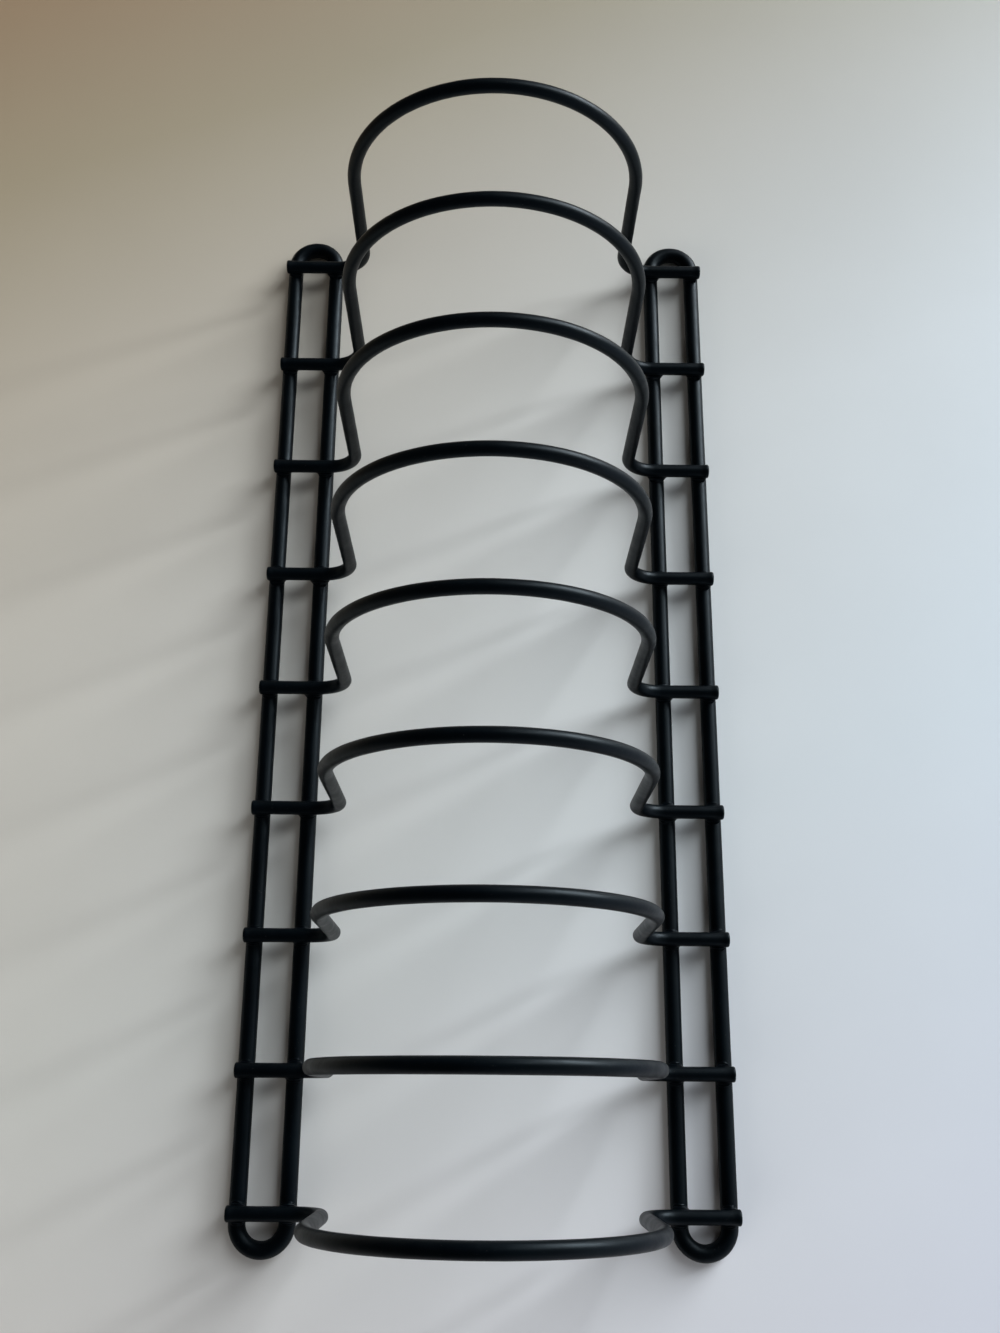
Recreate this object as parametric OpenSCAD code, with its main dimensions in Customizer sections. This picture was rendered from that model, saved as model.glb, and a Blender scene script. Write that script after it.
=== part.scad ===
// Welded wire rack that keeps plates, lids and pans on edge.
// Two closed wire loops lie flat as rails, one along each side.
// Nine arched wire dividers stand across them, and each one is a single bent wire.
// X runs across the rack, Y along the rails and Z up. The rack stands on Z = 0.

/* [Divider arches] */
// Spacing of the dividers along the rack, centre to centre.
divider_pitch = 50; // [25:0.5:80]
// Thickness of the divider wire, coating included.
divider_wire_d = 5.5; // [4:0.1:6]
// Clear width of an arch between the insides of its legs.
arch_width = 110.5; // [80:0.5:180]
// Length of the straight leg between the lower bend and the round crown.
leg_length = 46; // [5:0.5:120]
// Radius of the bend from leg to foot, on the middle of the wire.
bend_radius = 12.5; // [7:0.5:25]

/* [Divider feet] */
// Straight foot between the bend and the middle of the inner rail wire.
foot_lead = 1.5; // [0:0.1:12]
// How far each foot runs past the outside of its rail.
foot_overhang = 0.4; // [0.3:0.1:8]
// How much the coating thickens the cut end of a foot, on the radius.
foot_end_lip = 0.2; // [0.05:0.05:0.4]

/* [Rails] */
// Thickness of the rail wire, coating included.
rail_wire_d = 6.5; // [5.5:0.1:8]
// Clear gap between the two wires of one rail.
rail_gap = 12; // [9:0.1:30]
// Straight rail past the middle of the last foot, before the round end.
rail_end_run = 3.5; // [3.5:0.1:30]

/* [Welds] */
// How deep a foot is pressed into the rail wire at each weld.
weld_sink = 0.4; // [0.2:0.05:0.8]
// How far a weld bead shows past the side of the foot.
weld_fillet = 1.1; // [0.5:0.05:1.3]

/* [Hidden] */
$fn = 96;
divider_count = 9;

// Radii of the wires.
divider_r = divider_wire_d / 2;
rail_r = rail_wire_d / 2;

// Heights, all from the surface that the rack stands on.
rail_z = rail_r;
foot_z = rail_wire_d - weld_sink + divider_r;
weld_z = rail_wire_d - weld_sink / 2;
leg_bottom_z = foot_z + bend_radius;
crown_center_z = leg_bottom_z + leg_length;

// Distances from the middle plane of the rack.
leg_x = arch_width / 2 + divider_r;
foot_start_x = leg_x + bend_radius;
rail_inner_x = foot_start_x + foot_lead;
rail_outer_x = rail_inner_x + rail_gap + rail_wire_d;
foot_end_x = rail_outer_x + rail_r + foot_overhang;

// The round end of a rail, on the middle of the wire.
rail_end_r = (rail_outer_x - rail_inner_x) / 2;
rail_mid_x = (rail_outer_x + rail_inner_x) / 2;
rail_end_y = divider_pitch * (divider_count - 1) / 2 + rail_end_run;

// Rounding of the cut end of a foot.
foot_end_round = 0.25 * divider_r;

// Reach of a weld bead. The one on the outer wire stops at the cut end.
weld_r = divider_r + weld_fillet;
weld_outer_r = min(weld_r, rail_r + foot_overhang);

rail_color = [0.07, 0.07, 0.075];
divider_color = [0.1, 0.1, 0.105];
weld_color = [0.13, 0.13, 0.135];

// Place of a divider along the rack. The first one is at the front.
function divider_y(i) = (i - (divider_count + 1) / 2) * divider_pitch;

// A curved piece of round wire in the upright plane.
// It starts at the angle from and turns by sweep, around the middle of the bend.
module wire_arc(radius, wire_r, from, sweep) {
    rotate([90, 0, 0])
        rotate([0, 0, from])
            rotate_extrude(angle = sweep)
                translate([radius, 0])
                    circle(wire_r);
}

// Outline of half a foot, turned around its own axis.
// The cut end is rounded and a little thicker, as the coating leaves it.
module foot_profile(length) {
    square([divider_r, length - foot_end_round]);
    square([divider_r + foot_end_lip - foot_end_round, length]);
    translate([divider_r + foot_end_lip - foot_end_round, length - foot_end_round])
        circle(foot_end_round);
}

// One foot, from the end of the bend to its cut end.
module foot() {
    translate([foot_start_x, 0, foot_z])
        rotate([0, 90, 0])
            rotate_extrude()
                foot_profile(foot_end_x - foot_start_x);
}

// Foot, lower bend and leg on one side of a divider.
module divider_side() {
    foot();
    translate([foot_start_x, 0, leg_bottom_z])
        wire_arc(bend_radius, divider_r, 180, 90);
    translate([leg_x, 0, leg_bottom_z])
        cylinder(h = leg_length, r = divider_r);
}

// One divider: both sides and the half round crown, all in one wire.
module divider(i) {
    translate([0, divider_y(i), 0]) {
        divider_side();
        mirror([1, 0, 0])
            divider_side();
        translate([0, 0, crown_center_z])
            wire_arc(leg_x, divider_r, 0, 180);
    }
}

// Straight wire of a rail at a distance x from the middle plane.
module rail_straight(x) {
    translate([x, -rail_end_y, rail_z])
        rotate([-90, 0, 0])
            cylinder(h = 2 * rail_end_y, r = rail_r);
}

// Round end of a rail.
module rail_end() {
    translate([rail_mid_x, rail_end_y, rail_z])
        rotate_extrude(angle = 180)
            translate([rail_end_r, 0])
                circle(rail_r);
}

// Closed loop of a rail on the right, before the feet are pressed in.
module rail_loop() {
    rail_straight(rail_inner_x);
    rail_straight(rail_outer_x);
    rail_end();
    mirror([0, 1, 0])
        rail_end();
}

// Shallow seat that a foot leaves across both wires of a rail.
module foot_seat(i) {
    translate([rail_inner_x - rail_r, divider_y(i), foot_z])
        rotate([0, 90, 0])
            cylinder(h = rail_outer_x - rail_inner_x + 2 * rail_r, r = divider_r);
}

// Rail on the right, with the seats of all the feet.
module rail() {
    difference() {
        rail_loop();
        for (i = [1 : divider_count])
            foot_seat(i);
    }
}

// Weld bead in the corners between a foot and one wire of a rail.
module weld_bead(i, x, reach) {
    difference() {
        translate([x, divider_y(i), weld_z])
            sphere(reach);
        rail_loop();
        divider(i);
    }
}

// The two weld beads under the right foot of a divider.
module weld_pair(i) {
    weld_bead(i, rail_inner_x, weld_r);
    weld_bead(i, rail_outer_x, weld_outer_r);
}

module rail_left() {
    color(rail_color)
        mirror([1, 0, 0])
            rail();
}

module rail_right() {
    color(rail_color)
        rail();
}

module divider_1() { color(divider_color) divider(1); }
module divider_2() { color(divider_color) divider(2); }
module divider_3() { color(divider_color) divider(3); }
module divider_4() { color(divider_color) divider(4); }
module divider_5() { color(divider_color) divider(5); }
module divider_6() { color(divider_color) divider(6); }
module divider_7() { color(divider_color) divider(7); }
module divider_8() { color(divider_color) divider(8); }
module divider_9() { color(divider_color) divider(9); }

module weld_left_1() { color(weld_color) mirror([1, 0, 0]) weld_pair(1); }
module weld_left_2() { color(weld_color) mirror([1, 0, 0]) weld_pair(2); }
module weld_left_3() { color(weld_color) mirror([1, 0, 0]) weld_pair(3); }
module weld_left_4() { color(weld_color) mirror([1, 0, 0]) weld_pair(4); }
module weld_left_5() { color(weld_color) mirror([1, 0, 0]) weld_pair(5); }
module weld_left_6() { color(weld_color) mirror([1, 0, 0]) weld_pair(6); }
module weld_left_7() { color(weld_color) mirror([1, 0, 0]) weld_pair(7); }
module weld_left_8() { color(weld_color) mirror([1, 0, 0]) weld_pair(8); }
module weld_left_9() { color(weld_color) mirror([1, 0, 0]) weld_pair(9); }

module weld_right_1() { color(weld_color) weld_pair(1); }
module weld_right_2() { color(weld_color) weld_pair(2); }
module weld_right_3() { color(weld_color) weld_pair(3); }
module weld_right_4() { color(weld_color) weld_pair(4); }
module weld_right_5() { color(weld_color) weld_pair(5); }
module weld_right_6() { color(weld_color) weld_pair(6); }
module weld_right_7() { color(weld_color) weld_pair(7); }
module weld_right_8() { color(weld_color) weld_pair(8); }
module weld_right_9() { color(weld_color) weld_pair(9); }

rail_left();
rail_right();
divider_1();
divider_2();
divider_3();
divider_4();
divider_5();
divider_6();
divider_7();
divider_8();
divider_9();
weld_left_1();
weld_left_2();
weld_left_3();
weld_left_4();
weld_left_5();
weld_left_6();
weld_left_7();
weld_left_8();
weld_left_9();
weld_right_1();
weld_right_2();
weld_right_3();
weld_right_4();
weld_right_5();
weld_right_6();
weld_right_7();
weld_right_8();
weld_right_9();
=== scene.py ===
import math
import random

import bpy
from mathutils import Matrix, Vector, noise


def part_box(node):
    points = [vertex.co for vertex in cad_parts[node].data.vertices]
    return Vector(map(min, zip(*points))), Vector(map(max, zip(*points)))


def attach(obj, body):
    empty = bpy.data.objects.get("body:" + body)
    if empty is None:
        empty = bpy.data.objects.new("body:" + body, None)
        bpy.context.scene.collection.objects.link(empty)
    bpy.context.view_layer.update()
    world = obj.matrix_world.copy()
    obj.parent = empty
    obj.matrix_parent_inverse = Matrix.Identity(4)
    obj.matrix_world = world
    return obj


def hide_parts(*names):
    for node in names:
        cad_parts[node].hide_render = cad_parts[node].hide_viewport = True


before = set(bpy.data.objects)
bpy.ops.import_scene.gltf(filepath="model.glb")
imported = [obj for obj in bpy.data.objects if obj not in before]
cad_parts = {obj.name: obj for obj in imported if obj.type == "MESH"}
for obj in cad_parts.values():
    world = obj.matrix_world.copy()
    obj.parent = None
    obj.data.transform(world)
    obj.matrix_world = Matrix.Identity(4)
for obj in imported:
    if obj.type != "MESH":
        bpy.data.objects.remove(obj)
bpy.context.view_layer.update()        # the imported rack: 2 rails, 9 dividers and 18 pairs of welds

random.seed(7)               # the welds come out the same every time

MM = 0.001
SIDES = {"left": -1, "right": 1}
DIVIDERS = range(1, 10)


# Sizes of the rack, in metres

RAIL_R = 3.25 * MM           # radius of the rail wire, coating included
WIRE_R = 2.75 * MM           # radius of the divider wire, coating included
LEG_X = 58.0 * MM            # middle of a leg from the middle plane, also the crown's radius
BEND_R = 12.5 * MM           # radius of the bend from foot to leg
FOOT_LIP = 0.2 * MM          # how much the coating thickens the cut end of a foot
FOOT_ROUND = 0.69 * MM       # rounding of the cut end of a foot
SINK = 0.4 * MM              # how deep a foot is pressed into the rail at a weld

rail_lo, rail_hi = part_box("rail_right")
RAIL_IN_X = round(rail_lo.x, 5) + RAIL_R
RAIL_OUT_X = round(rail_hi.x, 5) - RAIL_R
RAIL_MID_X = (RAIL_IN_X + RAIL_OUT_X) / 2
RAIL_END_R = (RAIL_OUT_X - RAIL_IN_X) / 2
RAIL_END_Y = round(rail_hi.y, 4) - RAIL_R - RAIL_END_R

divider_lo, divider_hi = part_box("divider_1")
FOOT_END_X = round(divider_hi.x, 5)
FOOT_START_X = LEG_X + BEND_R
FOOT_Z = 2 * RAIL_R - SINK + WIRE_R
LEG_Z = FOOT_Z + BEND_R
CROWN_Z = round(divider_hi.z, 5) - WIRE_R - LEG_X


def divider_y(i):
    """Middle of a divider along the rack."""
    lo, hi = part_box(f"divider_{i}")
    return round((lo.y + hi.y) / 2, 5)


# Paths of the wires: a path is a list of points, each with the direction of the wire there

STEP = 1.6 * MM              # spacing of the points on a straight stretch
ARC_DENSER = 1.5             # how many times closer the points are on an arc
LINE_LEAST = 2               # fewest points on a straight stretch
ARC_LEAST = 8                # fewest points on an arc


def line_path(a, b):
    """Points from a to b, the last one left out."""
    a, b = Vector(a), Vector(b)
    count = max(LINE_LEAST, round((b - a).length / STEP))
    ahead = (b - a).normalized()
    return [(a.lerp(b, k / count), ahead) for k in range(count)]


def arc_path(centre, radius, start, end, across, up):
    """Points on an arc from the angle start to end, the last one left out."""
    centre, across, up = Vector(centre), Vector(across), Vector(up)
    count = max(ARC_LEAST, round(abs(end - start) * radius / STEP * ARC_DENSER))
    turn = 1 if end > start else -1
    path = []
    for k in range(count):
        angle = start + (end - start) * k / count
        out = across * math.cos(angle) + up * math.sin(angle)
        ahead = (up * math.cos(angle) - across * math.sin(angle)) * turn
        path.append((centre + out * radius, ahead))
    return path


def rail_path(side):
    """The closed loop of one rail, in the plane of the rail."""
    x_in, x_out, x_mid = side * RAIL_IN_X, side * RAIL_OUT_X, side * RAIL_MID_X
    x_low, x_high = sorted((x_in, x_out))
    across, up = (1, 0, 0), (0, 1, 0)
    path = line_path((x_high, -RAIL_END_Y, RAIL_R), (x_high, RAIL_END_Y, RAIL_R))
    path += arc_path((x_mid, RAIL_END_Y, RAIL_R), RAIL_END_R, 0, math.pi, across, up)
    path += line_path((x_low, RAIL_END_Y, RAIL_R), (x_low, -RAIL_END_Y, RAIL_R))
    path += arc_path((x_mid, -RAIL_END_Y, RAIL_R), RAIL_END_R, math.pi, 2 * math.pi, across, up)
    return path


def divider_path(y):
    """One bent wire, from the cut end of its left foot to that of its right foot."""
    across, up = (1, 0, 0), (0, 0, 1)
    quarter = math.pi / 2
    path = line_path((-FOOT_END_X, y, FOOT_Z), (-FOOT_START_X, y, FOOT_Z))
    path += arc_path((-FOOT_START_X, y, LEG_Z), BEND_R, -quarter, 0, across, up)
    path += line_path((-LEG_X, y, LEG_Z), (-LEG_X, y, CROWN_Z))
    path += arc_path((0, y, CROWN_Z), LEG_X, math.pi, 0, across, up)
    path += line_path((LEG_X, y, CROWN_Z), (LEG_X, y, LEG_Z))
    path += arc_path((FOOT_START_X, y, LEG_Z), BEND_R, math.pi, math.pi + quarter, across, up)
    path += line_path((FOOT_START_X, y, FOOT_Z), (FOOT_END_X, y, FOOT_Z))
    path.append((Vector((FOOT_END_X, y, FOOT_Z)), Vector((1, 0, 0))))
    return path


# Meshes

WIRE_SIDES = 40              # vertices round a wire
COAT_WAVE = 0.025 * MM       # how much the coating's thickness varies, either way
COAT_WAVE_LENGTH = 11 * MM   # distance over which it varies
COAT_THIN = 0.03 * MM        # how much the coating is thinner than its nominal thickness, on average


def coat(point):
    """Offset of the uneven coating from its nominal surface at a point, below zero where it is thin."""
    return COAT_WAVE * noise.noise(point / COAT_WAVE_LENGTH) - COAT_THIN


def add_ring(verts, middle, ahead, level, radius, share=1):
    """A ring of vertices round a wire that lies in the plane square to level, with a share of the coat."""
    aside = ahead.cross(level)
    for k in range(WIRE_SIDES):
        angle = 2 * math.pi * k / WIRE_SIDES
        out = level * math.cos(angle) + aside * math.sin(angle)
        verts.append(middle + out * (radius + share * coat(middle + out * radius)))


def join_rings(faces, first, second):
    """Faces between the rings that start at vertices first and second."""
    for k in range(WIRE_SIDES):
        n = (k + 1) % WIRE_SIDES
        faces.append((first + k, second + k, second + n, first + n))


def make_object(name, verts, faces, material):
    """A smooth object of the rack that rides on its body."""
    mesh = bpy.data.meshes.new(name)
    mesh.from_pydata([tuple(v) for v in verts], [], faces)
    mesh.validate()
    mesh.polygons.foreach_set("use_smooth", [True] * len(mesh.polygons))
    mesh.materials.append(material)
    made = bpy.data.objects.new(name, mesh)
    bpy.context.scene.collection.objects.link(made)
    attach(made, "root")
    return made


def loop_mesh(path, radius):
    """Wire along a closed path that lies flat."""
    verts, faces = [], []
    level = Vector((0, 0, 1))
    for middle, ahead in path:
        add_ring(verts, middle, ahead, level, radius)
    count = len(path)
    for k in range(count):
        join_rings(faces, k * WIRE_SIDES, (k + 1) % count * WIRE_SIDES)
    return verts, faces


# Cut ends of the feet

LIP_LENGTH = 1.5 * MM        # about how far back from the cut the coating is thicker
LIP_SPACING = LIP_LENGTH / 4
LIP_RINGS = 8                # rings behind the rounding
ROUND_RINGS = 8              # rings over the rounding
CUT_DOME = 0.25 * MM         # how far the coated cut face bulges
CAP_SHARES = (0.8, 0.55, 0.3)      # sizes of the rings on that face, as shares of the outermost


def foot_radius(from_end):
    """Radius of a foot at a distance from its cut end: a rounded bead of coating."""
    lip = FOOT_LIP * math.exp(-(max(from_end - FOOT_ROUND, 0) / LIP_LENGTH) ** 2)
    radius = WIRE_R + lip
    if from_end < FOOT_ROUND:
        short = (FOOT_ROUND - from_end) / FOOT_ROUND
        radius -= FOOT_ROUND * (1 - math.sqrt(max(0, 1 - short * short)))
    return radius


def end_stations():
    """Distances from the cut end at which a foot needs a ring, closest first."""
    quarter = math.pi / 2
    rounded = [FOOT_ROUND * (1 - math.cos(quarter * k / ROUND_RINGS)) for k in range(ROUND_RINGS + 1)]
    return rounded + [FOOT_ROUND + LIP_SPACING * k for k in range(1, LIP_RINGS + 1)]


def end_rings(y, side):
    """Rings of a foot near its cut end, closest to the cut first."""
    rings = []
    for from_end in end_stations():
        middle = Vector((side * (FOOT_END_X - CUT_DOME - from_end), y, FOOT_Z))
        rings.append((middle, Vector((1, 0, 0)), foot_radius(from_end)))
    return rings


def close_end(verts, faces, edge, ring, level, way):
    """Slightly domed cap over the ring of vertices that starts at edge."""
    middle, ahead, radius = ring
    for share in CAP_SHARES:
        start = len(verts)
        bulge = Vector((way * CUT_DOME * (1 - share * share), 0, 0))
        add_ring(verts, middle + bulge, ahead, level, radius * share, share)
        if way > 0:
            join_rings(faces, edge, start)
        else:
            join_rings(faces, start, edge)
        edge = start
    verts.append(middle + Vector((way * CUT_DOME, 0, 0)))
    tip = len(verts) - 1
    for k in range(WIRE_SIDES):
        n = (k + 1) % WIRE_SIDES
        faces.append((edge + k, tip, edge + n) if way > 0 else (edge + k, edge + n, tip))


def divider_mesh(y):
    """One divider wire with its two cut and coated ends."""
    level = Vector((0, 1, 0))
    plain_to = FOOT_END_X - (end_stations()[-1] + CUT_DOME) - STEP / 2
    plain = [(middle, ahead, WIRE_R) for middle, ahead in divider_path(y) if abs(middle.x) < plain_to]
    rings = end_rings(y, -1) + plain + end_rings(y, 1)[::-1]
    verts, faces = [], []
    for middle, ahead, radius in rings:
        add_ring(verts, middle, ahead, level, radius)
    last = len(rings) - 1
    for k in range(last):
        join_rings(faces, k * WIRE_SIDES, (k + 1) * WIRE_SIDES)
    close_end(verts, faces, 0, rings[0], level, -1)
    close_end(verts, faces, last * WIRE_SIDES, rings[last], level, 1)
    return verts, faces


# Weld fillets: a small ball rolled round the crossing of foot and rail leaves a smooth fillet

FILLET_R = (1.4 * MM, 1.9 * MM)    # smallest and largest ball
FILLET_TIGHT = 0.5 * MM            # ball where the fillet has to stop short of the cut end
FILLET_WAVE = 0.22                 # share by which the ball's size varies round one weld
FILLET_TURNS = 1.3                 # how fast it varies on the way round
FILLET_KINDS = 50                  # range of the number that makes each weld vary in its own way
FILLET_AROUND = 64                 # sections round one weld
FILLET_ARC = 9                     # points on the arc of a section
FILLET_POINTS = FILLET_ARC + 2     # the same with the two points inside the wires
FILLET_DEEP = 0.3 * MM             # how far the fillet's back lies inside the wires


def foot_rise(x):
    """How far the wire has climbed at x, where a fillet meets the start of the bend."""
    inside = max(0, FOOT_START_X - x)
    return BEND_R - math.sqrt(BEND_R * BEND_R - inside * inside)


def ball_size(angle, base, seed, stops_short):
    """Radius of the rolling ball at an angle round the weld."""
    around = Vector((math.cos(angle) * FILLET_TURNS, math.sin(angle) * FILLET_TURNS, seed))
    size = base * (1 + FILLET_WAVE * noise.noise(around))
    if stops_short:
        outward = max(0, math.cos(angle)) ** 2
        size += (FILLET_TIGHT - size) * outward
    return size


def ball_offset(wire_r, ball, height, way):
    """How far aside of a wire's axis the ball's middle lies, at a height above or below that axis."""
    return math.sqrt(max(0, (wire_r + ball) ** 2 - height ** 2)) * math.copysign(1, way)


def fillet_section(angle, ball, x, y, side):
    """Section of a fillet at an angle: the arc from rail to foot, then two points inside the wires."""
    low = 2 * RAIL_R - SINK - ball
    high = 2 * RAIL_R + ball
    z = (low + high) / 2 - (high - low) / 2 * math.cos(2 * angle)
    off_x = ball_offset(RAIL_R, ball, z - RAIL_R, math.cos(angle))
    off_y = ball_offset(WIRE_R, ball, FOOT_Z - z, math.sin(angle))
    ball_at = Vector((off_x, off_y, z))
    rail_out = Vector((off_x, 0, z - RAIL_R)).normalized()
    foot_out = Vector((0, off_y, z - FOOT_Z)).normalized()
    on_rail = Vector((0, off_y, RAIL_R)) + rail_out * RAIL_R
    on_foot = Vector((off_x, 0, FOOT_Z)) + foot_out * WIRE_R
    rise = Vector((0, 0, foot_rise(x + off_x)))
    start = (on_rail - ball_at).normalized()
    end = (on_foot - ball_at).normalized()
    points = []
    for k in range(FILLET_ARC):
        share = k / (FILLET_ARC - 1)
        points.append(ball_at + start.slerp(end, share) * ball + rise * share)
    points.append(on_foot - foot_out * FILLET_DEEP + rise)
    points.append(on_rail - rail_out * FILLET_DEEP)
    return [Vector((side * (x + p.x), y + p.y, p.z)) for p in points]


def add_fillet(verts, faces, x, y, side, stops_short):
    """The ring of coated weld metal in the corners of one crossing."""
    first = len(verts)
    base = random.uniform(*FILLET_R)
    seed = random.uniform(0, FILLET_KINDS)
    for k in range(FILLET_AROUND):
        angle = 2 * math.pi * (k + 0.5) / FILLET_AROUND
        ball = ball_size(angle, base, seed, stops_short)
        verts.extend(fillet_section(angle, ball, x, y, side))
    for k in range(FILLET_AROUND):
        here = first + k * FILLET_POINTS
        there = first + (k + 1) % FILLET_AROUND * FILLET_POINTS
        for m in range(FILLET_POINTS):
            n = (m + 1) % FILLET_POINTS
            face = (here + m, there + m, there + n, here + n)
            faces.append(face if side > 0 else face[::-1])


def weld_mesh(side, y):
    """The two fillets under one foot."""
    verts, faces = [], []
    add_fillet(verts, faces, RAIL_IN_X, y, side, False)
    add_fillet(verts, faces, RAIL_OUT_X, y, side, True)
    return verts, faces


# Shader nodes

WHITE = (1, 1, 1)
UNIT = (0.0, 1.0)            # the whole span of a grey value


def node_of(tree, kind, x, y, **values):
    """A shader node at a place in the tree, with values on its own sockets."""
    made = tree.nodes.new(kind)
    made.location = (x, y)
    for key, value in values.items():
        made.inputs[key.replace("_", " ")].default_value = value
    return made


def new_material(name):
    """A material, its tree, its shader, and the node of the object's own coordinates."""
    material = bpy.data.materials.new(name)
    material.use_nodes = True
    tree = material.node_tree
    place = node_of(tree, "ShaderNodeTexCoord", -1150, 0)
    return material, tree, tree.nodes["Principled BSDF"], place


def noise_of(tree, place, y, texture):
    """Noise over the object's own coordinates; texture is its scale per metre, detail and roughness."""
    scale, detail, roughness = texture
    made = node_of(
        tree, "ShaderNodeTexNoise", -900, y,
        Scale=scale, Detail=detail, Roughness=roughness,
    )
    tree.links.new(place.outputs["Object"], made.inputs["Vector"])
    return made.outputs["Fac"]


def ramp_of(tree, source, x, y, stops):
    """Turns a grey value into a colour, by stops that each have a position and a colour."""
    made = node_of(tree, "ShaderNodeValToRGB", x, y)
    elements = made.color_ramp.elements
    while len(elements) < len(stops):
        elements.new(1.0)
    for element, (position, colour) in zip(elements, stops):
        element.position = position
        element.color = (*colour, 1)
    tree.links.new(source, made.inputs["Fac"])
    return made.outputs["Color"]


def range_of(tree, source, y, span, target):
    """Maps a grey value from one span to another."""
    made = node_of(
        tree, "ShaderNodeMapRange", -650, y,
        From_Min=span[0], From_Max=span[1], To_Min=target[0], To_Max=target[1],
    )
    tree.links.new(source, made.inputs["Value"])
    return made.outputs["Result"]


def product_of(tree, first, second, x, y):
    """Two colours multiplied."""
    made = node_of(tree, "ShaderNodeMix", x, y, Factor=1.0)
    made.data_type = "RGBA"
    made.blend_type = "MULTIPLY"
    tree.links.new(first, made.inputs["A"])
    tree.links.new(second, made.inputs["B"])
    return made.outputs["Result"]


def bump_of(tree, height, x, y, strength, depth):
    """Bumps of a depth in metres, from a grey value."""
    made = node_of(tree, "ShaderNodeBump", x, y, Strength=strength, Distance=depth)
    tree.links.new(height, made.inputs["Height"])
    return made


# Coating of the wires

COATING_DARK = (0.0003, 0.001, 0.0018)
COATING_LIGHT = (0.001, 0.0024, 0.0038)
WELD_LIGHT = (0.0012, 0.0026, 0.0041)
DUST_COLOUR = (0.09, 0.088, 0.083)
DUST_MOST = 0.35                     # how much of the coating's colour a speck of dust hides

RAIL_GLOSS = (0.34, 0.48)            # roughness of the smoothest and of the roughest patches
DIVIDER_GLOSS = (0.33, 0.45)
WELD_GLOSS = (0.26, 0.38)
RAIL_PEEL = 0.55                     # strength of the orange peel
DIVIDER_PEEL = 0.6
WELD_PEEL = 0.8
PEEL_DEPTH = 0.06 * MM
GRAIN_STRENGTH = 0.35
GRAIN_DEPTH = 0.012 * MM

CLOUD_NOISE = (45.0, 4.0, 0.55)      # tone of the coating
SPECK_NOISE = (1700.0, 2.0, 0.4)     # dust
SMEAR_NOISE = (160.0, 5.0, 0.6)      # gloss
PEEL_NOISE = (620.0, 2.0, 0.5)
GRAIN_NOISE = (2600.0, 3.0, 0.6)
CLOUD_SPAN = (0.3, 0.72)             # grey values of the noise between which the tone changes
SPECK_SPAN = (0.73, 0.8)             # the same for the dust
SMEAR_SPAN = (0.3, 0.7)              # the same for the gloss

SHEEN = ((0.02, 0.07), (0.24, 0.17), (0.85, 0.08))    # how far the surface turns away, and its sheen
SHEEN_PLAIN = SHEEN[1][1]            # one level that stands for all three
SHEEN_TINT = (0.72, 0.89, 1.0)
COATING_IOR = 1.47


def satin_coating(name, light, gloss, peel):
    """Satin black coating: cloudy black, uneven gloss, a fine orange peel and a few specks of dust."""
    material, tree, shader, place = new_material(name)

    clouds = noise_of(tree, place, 500, CLOUD_NOISE)
    tones = ((CLOUD_SPAN[0], COATING_DARK), (CLOUD_SPAN[1], light))
    tone = ramp_of(tree, clouds, -650, 500, tones)
    specks = noise_of(tree, place, 250, SPECK_NOISE)
    dust = range_of(tree, specks, 250, SPECK_SPAN, (0.0, DUST_MOST))
    dusty = node_of(tree, "ShaderNodeMix", -350, 400)
    dusty.data_type = "RGBA"
    dusty.inputs["B"].default_value = (*DUST_COLOUR, 1)
    tree.links.new(dust, dusty.inputs["Factor"])
    tree.links.new(tone, dusty.inputs["A"])
    tree.links.new(dusty.outputs["Result"], shader.inputs["Base Color"])

    smears = noise_of(tree, place, -50, SMEAR_NOISE)
    roughness = range_of(tree, smears, -50, SMEAR_SPAN, gloss)
    tree.links.new(roughness, shader.inputs["Roughness"])

    coarse = noise_of(tree, place, -350, PEEL_NOISE)
    fine = noise_of(tree, place, -600, GRAIN_NOISE)
    grain = bump_of(tree, fine, -350, -550, GRAIN_STRENGTH, GRAIN_DEPTH)
    waves = bump_of(tree, coarse, -150, -400, peel, PEEL_DEPTH)
    tree.links.new(grain.outputs["Normal"], waves.inputs["Normal"])
    tree.links.new(waves.outputs["Normal"], shader.inputs["Normal"])

    edge = node_of(tree, "ShaderNodeLayerWeight", -900, -800, Blend=0.5)
    levels = [(turned, (level, level, level)) for turned, level in SHEEN]
    sheen = ramp_of(tree, edge.outputs["Facing"], -650, -800, levels)
    shader.inputs["Specular IOR Level"].default_value = SHEEN_PLAIN
    tree.links.new(sheen, shader.inputs["Specular IOR Level"])
    shader.inputs["Specular Tint"].default_value = (*SHEEN_TINT, 1)
    shader.inputs["IOR"].default_value = COATING_IOR
    return material


rail_coating = satin_coating("satin_black_rail", COATING_LIGHT, RAIL_GLOSS, RAIL_PEEL)
divider_coating = satin_coating("satin_black_divider", COATING_LIGHT, DIVIDER_GLOSS, DIVIDER_PEEL)
weld_coating = satin_coating("satin_black_weld", WELD_LIGHT, WELD_GLOSS, WELD_PEEL)


# The rack

def make_rails():
    """The two closed loops of rail wire."""
    for word, side in SIDES.items():
        verts, faces = loop_mesh(rail_path(side), RAIL_R)
        made = make_object(f"coated_rail_{word}", verts, faces, rail_coating)
        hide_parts(f"rail_{word}")


def make_dividers():
    """The nine bent wires that stand across the rails."""
    for i in DIVIDERS:
        verts, faces = divider_mesh(divider_y(i))
        made = make_object(f"coated_divider_{i}", verts, faces, divider_coating)
        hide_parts(f"divider_{i}")


def make_welds():
    """One object for the two welds under each foot."""
    for word, side in SIDES.items():
        for i in DIVIDERS:
            verts, faces = weld_mesh(side, divider_y(i))
            made = make_object(f"weld_fillets_{word}_{i}", verts, faces, weld_coating)
            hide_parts(f"weld_{word}_{i}")


make_rails()
make_dividers()
make_welds()


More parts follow.
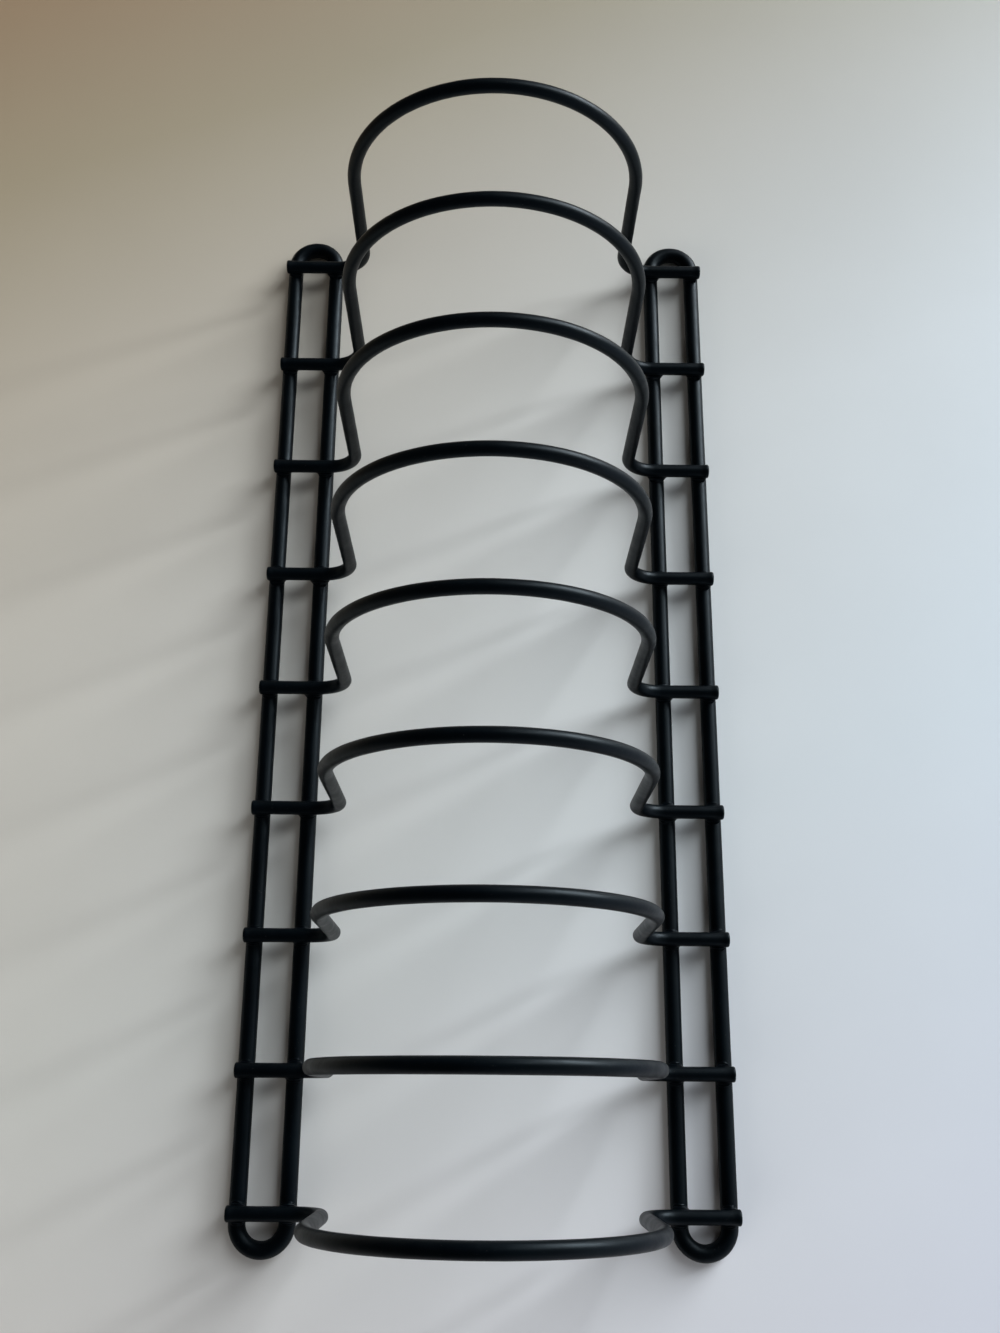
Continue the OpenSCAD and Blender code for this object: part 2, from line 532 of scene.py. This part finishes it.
# Camera, placed by matching the photograph's wire edges

PHOTO_W = 1000
PHOTO_H = 1333
FOCAL_PX = 1335.8            # focal length, in pixels of the photograph
MIDDLE_PX = (496.1, 666.8)   # where the photograph's optical axis meets it
SENSOR = 36.0
CAMERA_AT = (-1.78 * MM, -158.97 * MM, 532.75 * MM)
CAMERA_TURN = (0.3118, -0.0113, 0.00842)
CLIP_NEAR = 0.01
CLIP_FAR = 50


def make_camera():
    """A camera where the photograph's own camera stood."""
    data = bpy.data.cameras.new("camera")
    data.sensor_fit = "AUTO"
    data.sensor_width = SENSOR
    data.lens = FOCAL_PX * SENSOR / PHOTO_H
    data.shift_x = (PHOTO_W / 2 - MIDDLE_PX[0]) / PHOTO_H
    data.shift_y = (MIDDLE_PX[1] - PHOTO_H / 2) / PHOTO_H
    data.clip_start = CLIP_NEAR
    data.clip_end = CLIP_FAR
    camera = bpy.data.objects.new("camera", data)
    camera.location = CAMERA_AT
    camera.rotation_euler = CAMERA_TURN
    bpy.context.scene.collection.objects.link(camera)
    bpy.context.scene.camera = camera


make_camera()


# Floor

FLOOR_HALF = 30.0                   # half the floor's width
FLOOR_TURN = math.radians(113)      # direction in which the floor's tone changes, darkening with painted shade
FLOOR_TONES_AND_PAINTED_SHADE = (                     # distance in that direction, and the colour there: pale near the rack, then a warm brown painted shade towards the far left, easing off far out
    (-0.3, (0.834, 0.825, 0.857)),
    (-0.08, (0.786, 0.824, 0.823)),
    (0.08, (0.73, 0.743, 0.719)),
    (0.22, (0.552, 0.53, 0.471)),
    (0.32, (0.411, 0.371, 0.281)),
    (0.42, (0.356, 0.276, 0.192)),
    (0.7, (0.36, 0.31, 0.24)),
    (3.0, (0.45, 0.43, 0.4)),
)
FLOOR_FROM = FLOOR_TONES_AND_PAINTED_SHADE[0][0]
FLOOR_TO = FLOOR_TONES_AND_PAINTED_SHADE[-1][0]
FLOOR_SIDE = 0.3                    # distance from the middle plane at which the painted light tints are full
# painted light: a warm tint on the left for the room light, a cool one on the right for the window
FLOOR_LEFT_PAINTED_LIGHT = (0.903, 0.828, 0.742)
FLOOR_RIGHT_PAINTED_LIGHT = (0.806, 0.878, 0.982)
FLOOR_ROUGHNESS = 0.55
FLOOR_SHEEN = 0.3
MOTTLE_NOISE = (14.0, 4.0, 0.5)
MOTTLE_SPAN = (0.25, 0.75)
MOTTLE_DARK = (0.97, 0.97, 0.97)
PLASTER_NOISE = (900.0, 3.0, 0.5)
PLASTER_STRENGTH = 0.12
PLASTER_DEPTH = 0.05 * MM


def pale_floor():
    """Pale surface, darkened and warmed along one direction by painted shade, and tinted warm to cool from
    left to right by painted light.
    """
    material, tree, shader, place = new_material("pale_floor")

    along = node_of(tree, "ShaderNodeVectorMath", -900, 500)
    along.operation = "DOT_PRODUCT"
    along.inputs[1].default_value = (math.cos(FLOOR_TURN), math.sin(FLOOR_TURN), 0)
    tree.links.new(place.outputs["Object"], along.inputs[0])
    # painted shade: the floor's colour darkens and warms along that direction
    share = range_of(tree, along.outputs["Value"], 600, (FLOOR_FROM, FLOOR_TO), UNIT)
    tones = [((at - FLOOR_FROM) / (FLOOR_TO - FLOOR_FROM), colour) for at, colour in FLOOR_TONES_AND_PAINTED_SHADE]
    tone = ramp_of(tree, share, -400, 600, tones)

    # painted light: the floor tinted warm on the left and cool on the right
    split = node_of(tree, "ShaderNodeSeparateXYZ", -900, 850)
    tree.links.new(place.outputs["Object"], split.inputs["Vector"])
    across = range_of(tree, split.outputs["X"], 850, (-FLOOR_SIDE, FLOOR_SIDE), UNIT)
    painted_light_tints = ramp_of(tree, across, -400, 850, ((0.0, FLOOR_LEFT_PAINTED_LIGHT), (1.0, FLOOR_RIGHT_PAINTED_LIGHT)))
    painted_shade_and_light = product_of(tree, tone, painted_light_tints, -150, 700)

    mottle = noise_of(tree, place, 250, MOTTLE_NOISE)
    shades = ((MOTTLE_SPAN[0], MOTTLE_DARK), (MOTTLE_SPAN[1], WHITE))
    patches = ramp_of(tree, mottle, -650, 250, shades)
    mottled = product_of(tree, painted_shade_and_light, patches, -150, 400)
    tree.links.new(mottled, shader.inputs["Base Color"])

    plaster = noise_of(tree, place, -100, PLASTER_NOISE)
    bump = bump_of(tree, plaster, -350, -100, PLASTER_STRENGTH, PLASTER_DEPTH)
    tree.links.new(bump.outputs["Normal"], shader.inputs["Normal"])
    shader.inputs["Roughness"].default_value = FLOOR_ROUGHNESS
    shader.inputs["Specular IOR Level"].default_value = FLOOR_SHEEN
    return material


def make_floor():
    """The surface that the rack stands on."""
    corners = [(x * FLOOR_HALF, y * FLOOR_HALF, 0) for x, y in ((-1, -1), (1, -1), (1, 1), (-1, 1))]
    mesh = bpy.data.meshes.new("floor")
    mesh.from_pydata(corners, [], [(0, 1, 2, 3)])
    floor = bpy.data.objects.new("floor", mesh)
    bpy.context.scene.collection.objects.link(floor)
    mesh.materials.append(pale_floor())


# Room and window

WALL_NEAR = (0.69, 0.75, 0.86)      # surroundings on the window's side
WALL_AWAY = (0.06, 0.051, 0.043)    # surroundings on the far side, in warm room light
WALL_SPAN = (0.49, 0.64)            # where one turns into the other, as shares of the way to the right
CEILING = (0.5, 0.46, 0.4)          # how much of that is left overhead
CEILING_FROM = 0.75                 # height at which it is reached, 1 being straight up
WINDOW_DISTANCE = 2.6
GLOW_DISTANCE = 20.0
DAYLIGHT = (0.94, 0.98, 1.0)
ROOM_LIGHT = (1.0, 0.96, 0.9)
PANES = (     # name, distance, azimuths, elevations, radiance, colour, and whether the rack mirrors it
    ("narrow_pane", WINDOW_DISTANCE, (22, 26), (14, 30), 38, DAYLIGHT, True),
    ("low_pane", WINDOW_DISTANCE, (31.5, 58), (8, 21), 24, DAYLIGHT, True),
    ("middle_pane", WINDOW_DISTANCE, (31.5, 45), (21, 38), 11, DAYLIGHT, True),
    ("side_pane", WINDOW_DISTANCE, (45, 59), (21, 38), 5, DAYLIGHT, True),
    ("top_pane", WINDOW_DISTANCE, (31.5, 59), (38, 62), 6.5, DAYLIGHT, True),
    ("far_glow", GLOW_DISTANCE, (195, 245), (4, 32), 3, ROOM_LIGHT, False),
)


def make_world():
    """Soft surroundings: bright and cool towards the window, dim and warm away from it and overhead."""
    world = bpy.data.worlds.new("studio")
    bpy.context.scene.world = world
    world.use_nodes = True
    tree = world.node_tree
    back = tree.nodes["Background"]
    place = node_of(tree, "ShaderNodeTexCoord", -1150, 0)
    split = node_of(tree, "ShaderNodeSeparateXYZ", -900, 0)
    tree.links.new(place.outputs["Generated"], split.inputs["Vector"])
    across = range_of(tree, split.outputs["X"], 200, (-1.0, 1.0), UNIT)
    walls = ramp_of(tree, across, -400, 200, ((WALL_SPAN[0], WALL_AWAY), (WALL_SPAN[1], WALL_NEAR)))
    height = ramp_of(tree, split.outputs["Z"], -650, -100, ((0.0, WHITE), (CEILING_FROM, CEILING)))
    room = product_of(tree, walls, height, -150, 100)
    tree.links.new(room, back.inputs["Color"])
    back.location = (250, 0)
    tree.nodes["World Output"].location = (450, 0)


def make_pane(name, distance, azimuths, elevations, radiance, colour, mirrored):
    """An upright pane of light that faces the rack, between two azimuths and two elevations in degrees."""
    turn = math.radians(sum(azimuths) / 2)
    half_width = distance * math.tan(math.radians(azimuths[1] - azimuths[0]) / 2)
    bottom, top = (distance * math.tan(math.radians(angle)) for angle in elevations)
    data = bpy.data.lights.new(name, "AREA")
    data.shape = "RECTANGLE"
    data.size = 2 * half_width
    data.size_y = top - bottom
    data.energy = radiance * math.pi * data.size * data.size_y
    data.color = colour
    lamp = bpy.data.objects.new(name, data)
    lamp.visible_glossy = mirrored
    x, y = math.cos(turn), math.sin(turn)
    lamp.location = (distance * x, distance * y, (bottom + top) / 2)
    lamp.rotation_euler = Vector((-x, -y, 0)).to_track_quat("-Z", "Y").to_euler()
    bpy.context.scene.collection.objects.link(lamp)


make_floor()
make_world()
for pane in PANES:
    make_pane(*pane)

bpy.context.scene.view_settings.view_transform = "Standard"
